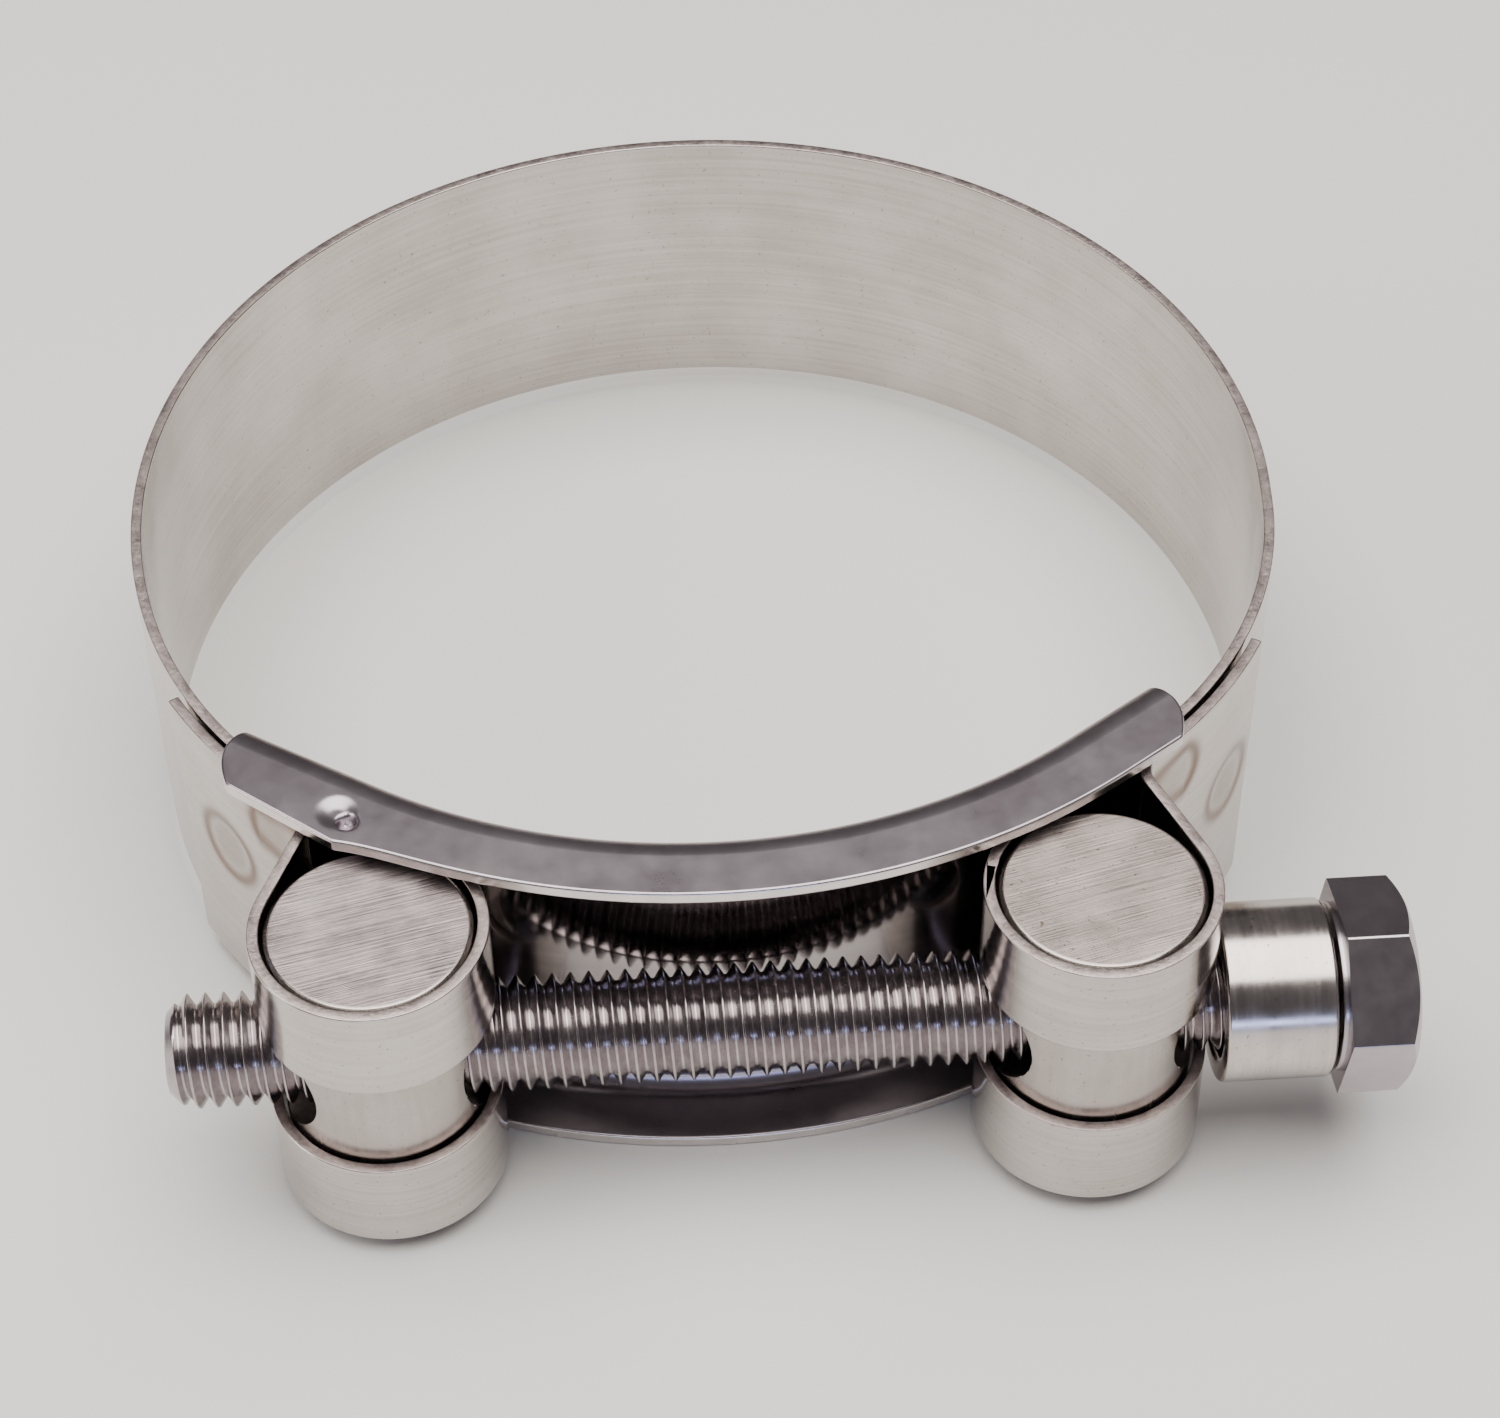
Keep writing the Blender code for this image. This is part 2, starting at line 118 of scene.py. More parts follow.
PIT_DEPTH = 0.8
KINK_ALONG = 0.8 - HALF_RUN         # where the punch pushed the flange's free edge furthest out
KINK_BULGE = 0.9
KINK_FADE = 2.2                     # the bulge falls away over this length
MARKS_ALONG = KINK_ALONG - 0.4      # middle of the stretch that the punch marked
MARKS_REACH = 2.4                   # and how far it goes each way

# The bolt.
PITCH = 1.25
CREST_RADIUS = 3.95
THREAD_ROOT_RADIUS = 3.2
THREAD_PROFILE = (              # (share of a pitch from a crest, share of the thread's height)
    (0.00, 1.00), (0.045, 0.98), (0.085, 0.88), (0.20, 0.585), (0.32, 0.28), (0.385, 0.10),
    (0.44, 0.02), (0.50, 0.00), (0.56, 0.02), (0.615, 0.10), (0.68, 0.28), (0.80, 0.585),
    (0.915, 0.88), (0.955, 0.98))
THREAD_STEPS = 72               # round the bolt
CREST_AT = -15.62               # X of one crest on the side turned to the floor
SHANK_INTO_HEAD = 0.6
HEAD_ACROSS_FLATS = 13.0
HEAD_THICKNESS = 5.3
HEX_TURN = math.radians(44.4)   # a flat's outward normal, up from -Y
HEX_CORNER_RADIUS = 0.3
WASHER_FACE = 0.4               # height of the round washer face under the head
WASHER_SPREAD = 0.9             # its radius, as a share of half the head's width
WASHER_CHAMFER = 0.1
CROWN_FLAT = 0.95               # radius of the head's flat end, as a share of the same
CROWN_SLOPE = math.radians(30)
CROWN_BREAK = ((-0.12, 0.0), (0.08, -0.06))     # (out, up) from the flat's rim: a soft edge
TIP_CHAMFER = 1.1
TIP_RADIUS = 0.5                # the thread is never drawn thinner than this
TIP_WEAR = 0.3                  # the rolled thread ends a little short of the full length

# The trunnions and the spacer.
THREADED_BORE_RADIUS = 3.55
PLAIN_BORE_RADIUS = 5.0
COUNTERSINK_RADIUS = 5.7        # at the side of the threaded trunnion that the bolt enters
COUNTERBORE_RADIUS = 5.4        # at the side where the bolt comes out
COUNTERBORE_X = -3.4            # where it starts, from the trunnion's middle
COUNTERBORE_SLOPE = 0.5
PIN_CHAMFER = 0.32
PIN_EDGE_BREAK = 0.10
SPACER_BORE_RADIUS = 4.45
SPACER_ROUNDING = 0.28          # of the outer edges
SPACER_BORE_ROUNDING = 0.35
TOOL_OVERRUN = 1.0              # how far a cutting shape runs past the face it opens

# Stains, shared by every finish.
SPECKS_PER_MM = 3.4
SPECK_LEVELS = (0.67, 0.71)     # noise between these goes from clean to stained
SPECK_COLOUR = (0.12, 0.07, 0.04)
HEAT_COLOUR = (0.16, 0.095, 0.06)
HEAT_STRENGTH = 0.95
CLOUD_DEPTH = 0.008             # how deep the surface's faint unevenness is


# ---------------------------------------------------------------- the frame's own places

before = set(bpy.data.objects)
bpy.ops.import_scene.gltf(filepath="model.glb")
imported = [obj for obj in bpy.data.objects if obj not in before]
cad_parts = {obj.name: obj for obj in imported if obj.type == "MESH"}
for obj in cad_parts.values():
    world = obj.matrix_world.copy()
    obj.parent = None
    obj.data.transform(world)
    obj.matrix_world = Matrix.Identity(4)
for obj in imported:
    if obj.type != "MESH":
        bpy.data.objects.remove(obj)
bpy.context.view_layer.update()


def mm_box(node):
    low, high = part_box(node)
    return low / MM, high / MM


def middle_of(node):
    low, high = mm_box(node)
    return (low + high) / 2


RING_AXIS = Vector((middle_of("band_back").x,
                    mm_box("band_back")[1].y - RING_RADIUS - STRIP / 2, 0))
HEIGHT = mm_box("bridge_plate")[1].z
MIDDLE = HEIGHT / 2
BAND_TOP = MIDDLE + BAND_WIDTH / 2
BAND_BOTTOM = MIDDLE - BAND_WIDTH / 2
BOLT_Y = middle_of("hex_bolt").y - RING_AXIS.y
TRUNNION_X = (middle_of("plain_trunnion").x - middle_of("threaded_trunnion").x) / 2
TRUNNION_RADIUS = (mm_box("plain_trunnion")[1].x - mm_box("plain_trunnion")[0].x) / 2
TRUNNION_BOTTOM, TRUNNION_TOP = (corner.z for corner in mm_box("plain_trunnion"))
PIN_RADIUS = TRUNNION_RADIUS + 0.08     # the pins fit their loops closely
LOOP_RADIUS = TRUNNION_RADIUS + LOOP_CLEARANCE + STRIP / 2
SLOT_END_Y = BOLT_Y + 1.2
BOLT_TIP_X = mm_box("hex_bolt")[0].x - RING_AXIS.x + TIP_WEAR
HEAD_END_X = mm_box("hex_bolt")[1].x - RING_AXIS.x
HEAD_SEAT_X = HEAD_END_X - HEAD_THICKNESS
SPACER_START, SPACER_END = (corner.x - RING_AXIS.x for corner in mm_box("spacer_sleeve"))
SPACER_RADIUS = (mm_box("spacer_sleeve")[1].z - mm_box("spacer_sleeve")[0].z) / 2


# ---------------------------------------------------------------- mesh helpers

def add_piece(name, bm, *materials):
    """An object from a bmesh drawn in millimetres about the ring's axis."""
    bmesh.ops.translate(bm, vec=RING_AXIS, verts=bm.verts)
    bmesh.ops.scale(bm, vec=Vector((MM, MM, MM)), verts=bm.verts)
    mesh = bpy.data.meshes.new(name)
    bm.to_mesh(mesh)
    bm.free()
    for material in materials:
        mesh.materials.append(material)
    obj = bpy.data.objects.new(name, mesh)
    bpy.context.scene.collection.objects.link(obj)
    return obj


def apply_modifiers(obj):
    bpy.context.view_layer.update()
    evaluated = obj.evaluated_get(bpy.context.evaluated_depsgraph_get())
    mesh = bpy.data.meshes.new_from_object(evaluated)
    old = obj.data
    obj.modifiers.clear()
    obj.data = mesh
    bpy.data.meshes.remove(old)
    mesh.name = obj.name


def bevel(obj, width, segments=3, angle=50):
    modifier = obj.modifiers.new("edges", 'BEVEL')
    modifier.width = width * MM
    modifier.segments = segments
    modifier.limit_method = 'ANGLE'
    modifier.angle_limit = math.radians(angle)
    modifier.use_clamp_overlap = False


def round_rim(obj, slot, width, segments=4):
    """Round the edges that a rim of the given material shares with the faces round it."""
    bm = bmesh.new()
    bm.from_mesh(obj.data)
    weights = bm.edges.layers.float.new("bevel_weight_edge")
    for edge in bm.edges:
        on_rim = [face.material_index == slot for face in edge.link_faces]
        edge[weights] = float(any(on_rim) and not all(on_rim))
    bm.to_mesh(obj.data)
    bm.free()
    bevel(obj, width, segments)
    obj.modifiers["edges"].limit_method = 'WEIGHT'


def thicken(obj, thickness, offset=0.0, even=True):
    """Give a sheet its thickness, and its rim the material after the sheet's own."""
    modifier = obj.modifiers.new("thickness", 'SOLIDIFY')
    modifier.thickness = thickness * MM
    modifier.offset = offset
    modifier.use_even_offset = even
    modifier.material_offset_rim = 1


def shade(obj, angle=40):
    """Smooth shading, with flat areas kept flat by weighted normals."""
    obj.data.shade_smooth()
    obj.data.set_sharp_from_angle(angle=math.radians(angle))
    modifier = obj.modifiers.new("normals", 'WEIGHTED_NORMAL')
    modifier.keep_sharp = True
    apply_modifiers(obj)


def cut(obj, cutter, operation='DIFFERENCE'):
    """Apply a boolean with a cutter that is used up by it."""
    modifier = obj.modifiers.new("cut", 'BOOLEAN')
    modifier.operation = operation
    modifier.solver = 'EXACT'
    modifier.object = cutter
    apply_modifiers(obj)
    bpy.data.objects.remove(cutter, do_unlink=True)


def turned(profile, start, axis, steps):
    """A closed shape turned about a line through start, from (radius, along) points."""
    bm = bmesh.new()
    verts = [bm.verts.new((radius, 0, along)) for radius, along in profile]
    edges = [bm.edges.new(pair) for pair in zip(verts, verts[1:] + verts[:1])]
    bmesh.ops.spin(bm, geom=verts + edges, cent=(0, 0, 0), axis=(0, 0, 1),
                   angle=math.tau, steps=steps, use_merge=True, use_duplicate=False)
    bmesh.ops.remove_doubles(bm, verts=bm.verts, dist=1e-5)
    bmesh.ops.dissolve_degenerate(bm, edges=bm.edges, dist=1e-6)
    bmesh.ops.delete(bm, geom=[e for e in bm.edges if e.is_wire], context='EDGES')
    bmesh.ops.recalc_face_normals(bm, faces=bm.faces)
    turn = Vector((0, 0, 1)).rotation_difference(Vector(axis)).to_matrix()
    bmesh.ops.rotate(bm, verts=bm.verts, cent=(0, 0, 0), matrix=turn)
    bmesh.ops.translate(bm, vec=Vector(start), verts=bm.verts)
    return bm


def paint_faces(obj, slot, chosen=lambda face: True):
    for face in obj.data.polygons:
        if chosen(face):
            face.material_index = slot


def smoothstep(value):
    value = max(0.0, min(1.0, value))
    return value * value * (3 - 2 * value)


def graded(start, stop, coarse, fine, centre, reach):
    """Values from start to stop, close together within reach of centre."""
    values = [start]
    while values[-1] < stop:
        near = smoothstep((abs(values[-1] - centre) - reach) / reach)
        values.append(values[-1] + fine + (coarse - fine) * near)
    return values[:-1] + [stop]


# ---------------------------------------------------------------- materials

class Nodes:
    """A short way to add nodes to one material."""

    def __init__(self, name):
        self.material = bpy.data.materials.new(name)
        self.material.use_nodes = True
        self.tree = self.material.node_tree
        self.shader = self.tree.nodes["Principled BSDF"]
        self.place = self.tree.nodes.new("ShaderNodeTexCoord").outputs["Object"]

    def add(self, kind, **values):
        node = self.tree.nodes.new(kind)
        for key, value in values.items():
            setattr(node, key, value)
        return node

    def link(self, output, socket):
        self.tree.links.new(output, socket)

    def noise(self, stretch, detail=3.0, roughness=0.6, turn=(0, 0, 0)):
        """Noise whose stretch gives its features per millimetre along X, Y and Z."""
        mapping = self.add("ShaderNodeMapping", vector_type='TEXTURE')
        mapping.inputs["Scale"].default_value = [MM / value for value in stretch]
        mapping.inputs["Rotation"].default_value = turn
        self.link(self.place, mapping.inputs["Vector"])
        noise = self.add("ShaderNodeTexNoise")
        noise.inputs["Scale"].default_value = 1.0
        noise.inputs["Detail"].default_value = detail
        noise.inputs["Roughness"].default_value = roughness
        self.link(mapping.outputs["Vector"], noise.inputs["Vector"])
        return noise.outputs["Fac"]

    def remap(self, value, low, high, to_low=0.0, to_high=1.0):
        """A value between low and high, spread between to_low and to_high."""
        node = self.add("ShaderNodeMapRange")
        for name, number in (("From Min", low), ("From Max", high),
                             ("To Min", to_low), ("To Max", to_high)):
            node.inputs[name].default_value = number
        self.link(value, node.inputs["Value"])
        return node.outputs["Result"]

    def combine(self, first, second, operation='ADD'):
        """Two values, or a value and a number, put together by a maths node."""
        node = self.add("ShaderNodeMath", operation=operation)
        for socket, value in zip(node.inputs, (first, second)):
            if isinstance(value, float):
                socket.default_value = value
            else:
                self.link(value, socket)
        return node.outputs["Value"]

    def mix(self, factor, first, second):
        """Two colours, mixed. The node's colour sockets come after those for plain numbers."""
        node = self.add("ShaderNodeMix", data_type='RGBA')
        self.link(factor, node.inputs["Factor"])
        for socket, colour in ((node.inputs[6], first), (node.inputs[7], second)):
            if isinstance(colour, tuple):
                socket.default_value = (*colour, 1.0)
            else:
                self.link(colour, socket)
        return node.outputs[2]

    def bump(self, height, depth, below=None):
        node = self.add("ShaderNodeBump")
        node.inputs["Distance"].default_value = depth * MM
        self.link(height, node.inputs["Height"])
        if below:
            self.link(below, node.inputs["Normal"])
        return node.outputs["Normal"]

    def finish(self, colour, roughness, normal):
        self.shader.inputs["Metallic"].default_value = 1.0
        self.link(colour, self.shader.inputs["Base Color"])
        self.link(roughness, self.shader.inputs["Roughness"])
        self.link(normal, self.shader.inputs["Normal"])
        return self.material


def steel(name, light, dark, roughness, grain, grain_depth, smudge=0.25, specked=0.0,
          turn=(0, 0, 0), welded=False):
    """Stainless steel, in tints from light to dark and with a range of roughness.

    grain is the surface's lines per millimetre along X, Y and Z, turned by turn; smudge is its
    clouds per millimetre; specked is the strength of its brown specks.
    """
    nodes = Nodes(name)
    lines = nodes.noise(grain, detail=4.0, roughness=0.7, turn=turn)
    cloud = nodes.noise((smudge,) * 3, detail=4.0, roughness=0.55)
    specks = nodes.noise((SPECKS_PER_MM,) * 3, detail=2.0)
    tint = nodes.remap(nodes.combine(lines, cloud), 0.75, 1.25)
    colour = nodes.mix(tint, dark, light)
    speck = nodes.remap(specks, *SPECK_LEVELS)
    stained = nodes.mix(nodes.combine(speck, specked, 'MULTIPLY'), colour, SPECK_COLOUR)
    if welded:
        heat = nodes.add("ShaderNodeAttribute", attribute_name="weld").outputs["Fac"]
        heat = nodes.combine(heat, HEAT_STRENGTH, 'MULTIPLY')
        stained = nodes.mix(heat, stained, HEAT_COLOUR)
    rough = nodes.remap(nodes.combine(cloud, lines), 0.7, 1.3, *roughness)
    normal = nodes.bump(lines, grain_depth)
    normal = nodes.bump(cloud, CLOUD_DEPTH, normal)
    return nodes.finish(stained, rough, normal)


def make_materials():
    """Each finish on the clamp by the part that wears it; some tints hold painted shade or highlight.
    """
    return {
        "band": steel("rolled_strip", light=(0.59, 0.55, 0.52), dark=(0.45, 0.41, 0.38),
                      roughness=(0.10, 0.20), grain=(0.03, 0.03, 3.0), grain_depth=0.003,
                      smudge=0.12, specked=0.5, welded=True),
        "band_edge": steel("sheared_strip_edge", light=(0.55, 0.475, 0.455), dark=(0.34, 0.28, 0.27),
                           roughness=(0.34, 0.50), grain=(3.0, 3.0, 3.0), grain_depth=0.04,
                           smudge=0.8, specked=0.2),
        "plate": steel("pressed_plate", light=(0.43, 0.39, 0.42), dark=(0.37, 0.33, 0.36),
                       roughness=(0.27, 0.33), grain=(0.35, 0.35, 0.35), grain_depth=0.002,
                       smudge=0.15),
        "web": steel("polished_web", light=(0.52, 0.48, 0.47), dark=(0.44, 0.40, 0.40),
                     roughness=(0.09, 0.14), grain=(0.10, 0.10, 1.0), grain_depth=0.002,
                     smudge=0.2),
        # the rim's pale tint: partly the cut edge's own tone, partly a painted highlight along the
        # rolled edge
        "plate_edge": steel("sheared_plate_edge_with_painted_highlight", light=(0.76, 0.72, 0.70), dark=(0.68, 0.63, 0.62),
                            roughness=(0.20, 0.28), grain=(0.6, 0.6, 0.6), grain_depth=0.004,
                            smudge=0.3),
        "sawn_left": steel("coarse_sawn_end", light=(0.55, 0.48, 0.47), dark=(0.26, 0.22, 0.22),
                           roughness=(0.34, 0.50), grain=(0.12, 5.5, 1.0), grain_depth=0.05,
                           smudge=0.35, specked=0.2, turn=(0, 0, math.radians(14))),
        "sawn_right": steel("fine_sawn_end", light=(0.58, 0.50, 0.47), dark=(0.34, 0.29, 0.27),
                            roughness=(0.34, 0.48), grain=(0.10, 7.5, 1.0), grain_depth=0.03,
                            smudge=0.3, specked=0.7, turn=(0, 0, math.radians(15))),
        # pin tint: partly the bar's own colour, partly painted shade for the gap inside its loop
        "drawn": steel("drawn_bar_with_painted_gap_shade", light=(0.50, 0.455, 0.43), dark=(0.40, 0.36, 0.335),
                       roughness=(0.16, 0.30), grain=(1.0, 1.0, 0.08), grain_depth=0.002,
                       smudge=0.2, specked=0.5),
        # the bore's near-black tint is painted shade inside the holes; its roughness is the drilled
        # finish
        "bore": steel("bore_in_painted_shade", light=(0.30, 0.27, 0.26), dark=(0.14, 0.12, 0.12),
                      roughness=(0.35, 0.55), grain=(2.0, 1.0, 1.0), grain_depth=0.02),
        "thread": steel("rolled_thread", light=(0.50, 0.46, 0.46), dark=(0.36, 0.32, 0.33),
                        roughness=(0.16, 0.28), grain=(1.2, 1.2, 1.2), grain_depth=0.006,
                        smudge=0.5),
        "head": steel("forged_head", light=(0.47, 0.43, 0.45), dark=(0.41, 0.37, 0.39),
                      roughness=(0.22, 0.27), grain=(0.8, 0.8, 0.8), grain_depth=0.003,
                      smudge=0.25),
        "turned": steel("turned_sleeve", light=(0.62, 0.57, 0.54), dark=(0.48, 0.44, 0.42),
                        roughness=(0.16, 0.26), grain=(3.0, 0.15, 0.15), grain_depth=0.003,
                        smudge=0.3, specked=0.6),
    }


# ---------------------------------------------------------------- the band's line in plan
# The line is a chain of circles joined by tangent straights. A circle is (centre, radius),
# with the radius positive where the line turns left round it and negative where it turns right.

def left_normal(heading):
    return Vector((-math.sin(heading), math.cos(heading)))


def point_on(circle, heading):
    """Where the line round a circle has the given heading."""
    centre, radius = circle
    return centre - radius * left_normal(heading)


def tangent_heading(first, second):
    """The heading of the straight that leaves the first circle for the second."""
    between = second[0] - first[0]
    lean = math.asin((second[1] - first[1]) / between.length)
    return math.atan2(between.y, between.x) - lean


def turn_between(heading, leaving, radius):
    turn = (leaving - heading) % math.tau
    return turn if radius > 0 else turn - math.tau


def band_line(circles, first_heading, last_heading, chord):
    """The points of a line round the circles, with no step on a bend longer than chord."""
    points = []
    heading = first_heading
    for index, circle in enumerate(circles):
        last = index + 1 == len(circles)
        leaving = last_heading if last else tangent_heading(circle, circles[index + 1])
        turn = turn_between(heading, leaving, circle[1])
        count = max(1, math.ceil(abs(turn) / min(chord / abs(circle[1]), math.radians(6))))
        points += [point_on(circle, heading + turn * k / count) for k in range(count + 1)]
        heading = leaving
    return points


def end_circles(end):
    """The circles that one end of the band runs round, drawn for the left side."""
    centre = Vector((0, 0))
    reach = RING_RADIUS + end["corner_bulge"] - end["corner_radius"]
    angle = end["corner_angle"]
    corner = Vector((-reach * math.cos(angle), -reach * math.sin(angle)))
    trunnion = Vector((-TRUNNION_X, BOLT_Y))
    tail_bend = end["corner_radius"] + TAIL_OFFSET
    root_reach = tail_bend + ROOT_RADIUS + ROOT_CLEARANCE
    heading = end["root_angle"]
    root = corner + root_reach * Vector((math.cos(heading), -math.sin(heading)))
    return [(centre, RING_RADIUS), (corner, end["corner_radius"]), (trunnion, -LOOP_RADIUS),
            (root, ROOT_RADIUS), (corner, -tail_bend), (centre, -(RING_RADIUS + TAIL_OFFSET))]


def shortened(points, length):
    """The start of a run of points, cut off at length."""
    kept = [points[0]]
    for point in points[1:]:
        step = point - kept[-1]
        if step.length >= length:
            return kept + [kept[-1] + step * (length / step.length)]
        length -= step.length
        kept.append(point)
    return kept


def spaced(points, longest):
    """The same line with no step longer than longest."""
    dense = [points[0]]
    for first, second in zip(points, points[1:]):
        count = max(1, math.ceil((second - first).length / longest))
        dense += [first.lerp(second, k / count) for k in range(1, count + 1)]
    return dense


def with_crossings(points, levels):
    """The same line with a point wherever it crosses one of the Y levels."""
    refined = [points[0]]
    for first, second in zip(points, points[1:]):
        shares = sorted((level - first.y) / (second.y - first.y) for level in levels
                        if (level - first.y) * (level - second.y) < 0)
        refined += [first.lerp(second, share) for share in shares] + [second]
    return refined


def without_repeats(points):
    return points[:1] + [b for a, b in zip(points, points[1:]) if (b - a).length > SAME_POINT]


def end_line(end):
    """Half of the band in plan, from the back of the ring to the tip of the tail.

    It returns the line and how many of its points come before the tail.
    """
    circles = end_circles(end)
    first_heading = -math.pi - BACK_OVERLAP / RING_RADIUS
    root_heading = tangent_heading(circles[3], circles[4])
    arm = spaced(band_line(circles[:4], first_heading, root_heading, CURVE_STEP), STRAIGHT_STEP)
    slot_levels = [SLOT_END_Y + SLOT_HEIGHT / 2 * math.cos(math.radians(angle))
                   for angle in SLOT_END_ANGLES]
    arm = with_crossings(arm, slot_levels)
    tail = band_line(circles[4:], root_heading, math.pi / 2, CURVE_STEP)
    tail = spaced(shortened(tail, end["tail_length"]), TAIL_STEP)
    line = without_repeats(arm + tail)
    return [Vector((p.x * -end["side"], p.y)) for p in line], len(without_repeats(arm))


# ---------------------------------------------------------------- the band

def slot_half_height(y):
    """Half the height of the bolt's slot where the line is at y."""
    past = max(0.0, y - SLOT_END_Y)
    half = SLOT_HEIGHT / 2
    return math.sqrt(max(0.0, half * half - past * past))


def weld_spots(end):
    """The spot welds' middles, between ring and tail, with their outward directions."""
    corner, bend = end_circles(end)[1]
    spots = []
    for angle, rise in end["welds"]:
        outwards = Vector((end["side"] * math.cos(angle), -math.sin(angle), 0))
        centre = Vector((corner.x * -end["side"], corner.y, MIDDLE + rise))
        spots.append((centre + (bend + TAIL_OFFSET / 2) * outwards, outwards))
    return spots


def radius_in_weld(point, spot):
    """How far a point is from a spot weld's axis, or None if it is on another turn of the band."""
    middle, outwards = spot
    offset = point - middle
    along = offset.dot(outwards)
    if abs(along) < WELD_REACH:
        return (offset - along * outwards).length
    return None


def dented(point, spots, is_tail):
    """The point, moved where a weld presses ring and tail together."""
    for spot in spots:
        radius = radius_in_weld(point, spot)
        if radius is not None and radius < WELD_RADIUS:
            depth = smoothstep((WELD_RADIUS - radius) / WELD_SLOPE)
            inwards = -1 if is_tail else 1
            return point + spot[1] * (inwards * WELD_DENT * depth)
    return point


def band_column(bm, point, is_tail, spots):
    """Vertices across the strip at one point of its line: a run from each edge to the bolt's slot."""
    half_slot = 0.0 if is_tail else slot_half_height(point.y)
    runs = []
    for edge, inner in ((BAND_BOTTOM, MIDDLE - half_slot), (BAND_TOP, MIDDLE + half_slot)):
        heights = [edge + (inner - edge) * k / HALF_ROWS for k in range(HALF_ROWS + 1)]
        spread = [Vector((point.x, point.y, z)) for z in heights]
        runs.append([bm.verts.new(dented(p, spots, is_tail)) for p in spread])
    return runs


def band_sheet(end):
    """The strip's middle surface, open along the bolt's slot."""
    line, arm_count = end_line(end)
    spots = weld_spots(end)
    bm = bmesh.new()
    columns = [band_column(bm, point, index >= arm_count, spots) for index, point in enumerate(line)]
    for first, second in zip(columns, columns[1:]):
        for run, flip in ((0, False), (1, True)):
            for k in range(HALF_ROWS):
                corners = [first[run][k], second[run][k], second[run][k + 1], first[run][k + 1]]
                bm.faces.new(corners[::-1] if flip else corners)
    bmesh.ops.remove_doubles(bm, verts=bm.verts, dist=1e-4)
    bmesh.ops.dissolve_degenerate(bm, edges=bm.edges, dist=1e-4)
    return bm


def trim_at_back(obj, side):
    """Cut the strip square across at the back of the ring, where its two halves meet."""
    bm = bmesh.new()
    bm.from_mesh(obj.data)
    geometry = bm.verts[:] + bm.edges[:] + bm.faces[:]
    plane = RING_AXIS * MM
    on_plane = 1e-7
    bmesh.ops.bisect_plane(bm, geom=geometry, plane_co=plane, plane_no=(-side, 0, 0), dist=on_plane)
    beyond = [v for v in bm.verts if (v.co.x - plane.x) * side < -on_plane and v.co.y > plane.y]
    bmesh.ops.delete(bm, geom=beyond, context='VERTS')
    rim = [e for e in bm.edges if e.is_boundary]
    bmesh.ops.contextual_create(bm, geom=rim)
    bm.to_mesh(obj.data)
    bm.free()


def mark_welds(obj, spots):
    """Write how heat-stained the strip is at each point round its spot welds."""
    stain = obj.data.attributes.new("weld", 'FLOAT', 'POINT')
    for vert, mark in zip(obj.data.vertices, stain.data):
        point = vert.co / MM - RING_AXIS
        for spot in spots:
            radius = radius_in_weld(point, spot)
            if radius is not None:
                ring = math.exp(-((radius - WELD_RADIUS) / STAIN_RING_WIDTH) ** 2)
                inside = STAIN_INSIDE * smoothstep((WELD_RADIUS - radius) / STAIN_FADE)
                mark.value = max(mark.value, ring, inside)


def make_band(name, end, materials):
    obj = add_piece(name, band_sheet(end), materials["band"], materials["band_edge"])
    thicken(obj, STRIP)
    bevel(obj, EDGE_BREAK)
    apply_modifiers(obj)
    trim_at_back(obj, end["side"])
    shade(obj)
    mark_welds(obj, weld_spots(end))
    return obj


def flex(obj):
    """Bake one half of the band's placement into its mesh."""
    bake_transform(obj)


# ---------------------------------------------------------------- the bridge plate

def bridge_point(along, depth):
    """A point in plan on the bridge: along from its middle, and depth outwards from its web."""
    arc = max(-HALF_RUN, min(HALF_RUN, along)) / BRIDGE_RADIUS
    angle = arc + BRIDGE_TILT
    outwards = Vector((math.sin(angle), -math.cos(angle)))
    onwards = Vector((math.cos(angle), math.sin(angle)))
    straight = along - arc * BRIDGE_RADIUS
    return BRIDGE_CENTRE + (BRIDGE_RADIUS + depth) * outwards + straight * onwards


def bridge_section():
    """The sheet's outer face across the channel, from flange edge to flange edge, as (depth, z)."""
    arc = [math.pi / 2 * k / BEND_STEPS for k in range(BEND_STEPS + 1)]
    lower_bend = [(BEND_RADIUS * (1 - math.sin(a)), BEND_RADIUS * (1 - math.cos(a))) for a in arc]
    upper_bend = [(depth, HEIGHT - z) for depth, z in reversed(lower_bend)]
    flat = FLANGE_DEPTH - BEND_RADIUS
    bottom = [(BEND_RADIUS + flat * (1 - k / BOTTOM_FLANGE_ROWS), 0.0)
              for k in range(BOTTOM_FLANGE_ROWS)]
    web_height = HEIGHT - 2 * BEND_RADIUS
    web = [(0.0, BEND_RADIUS + web_height * k / WEB_ROWS) for k in range(1, WEB_ROWS)]
    inner = flat - EDGE_ROW
    top = [(BEND_RADIUS + inner * (1 - k / TOP_FLANGE_ROWS), HEIGHT)
           for k in reversed(range(TOP_FLANGE_ROWS))]
    return bottom + lower_bend + web + upper_bend + top + [(FLANGE_DEPTH, HEIGHT)]


def pressed(point, z):
    """The height of the sheet's outer face, sunk where the punch went into the top flange."""
    if z < HEIGHT - SAME_POINT:
        return z
    dish = smoothstep((DISH_RADIUS - (point - DISH).length) / DISH_RADIUS * DISH_STEEPNESS)
    pit = smoothstep((PIT_RADIUS - (point - PIT).length) / (PIT_RADIUS - PIT_FLOOR))
    return z - DISH_DEPTH * dish - PIT_DEPTH * pit


def edge_bulge(along):
    """How far the flange's free edge is pushed out: straight up to the kink, then falling away."""
    past = along - KINK_ALONG
    if past > 0:
        return KINK_BULGE * math.exp(-past / KINK_FADE)
    rise = KINK_ALONG + HALF_RUN + BRIDGE_LEFT_END - FLANGE_END_SLANT
    return KINK_BULGE * max(0.0, 1 + past / rise)


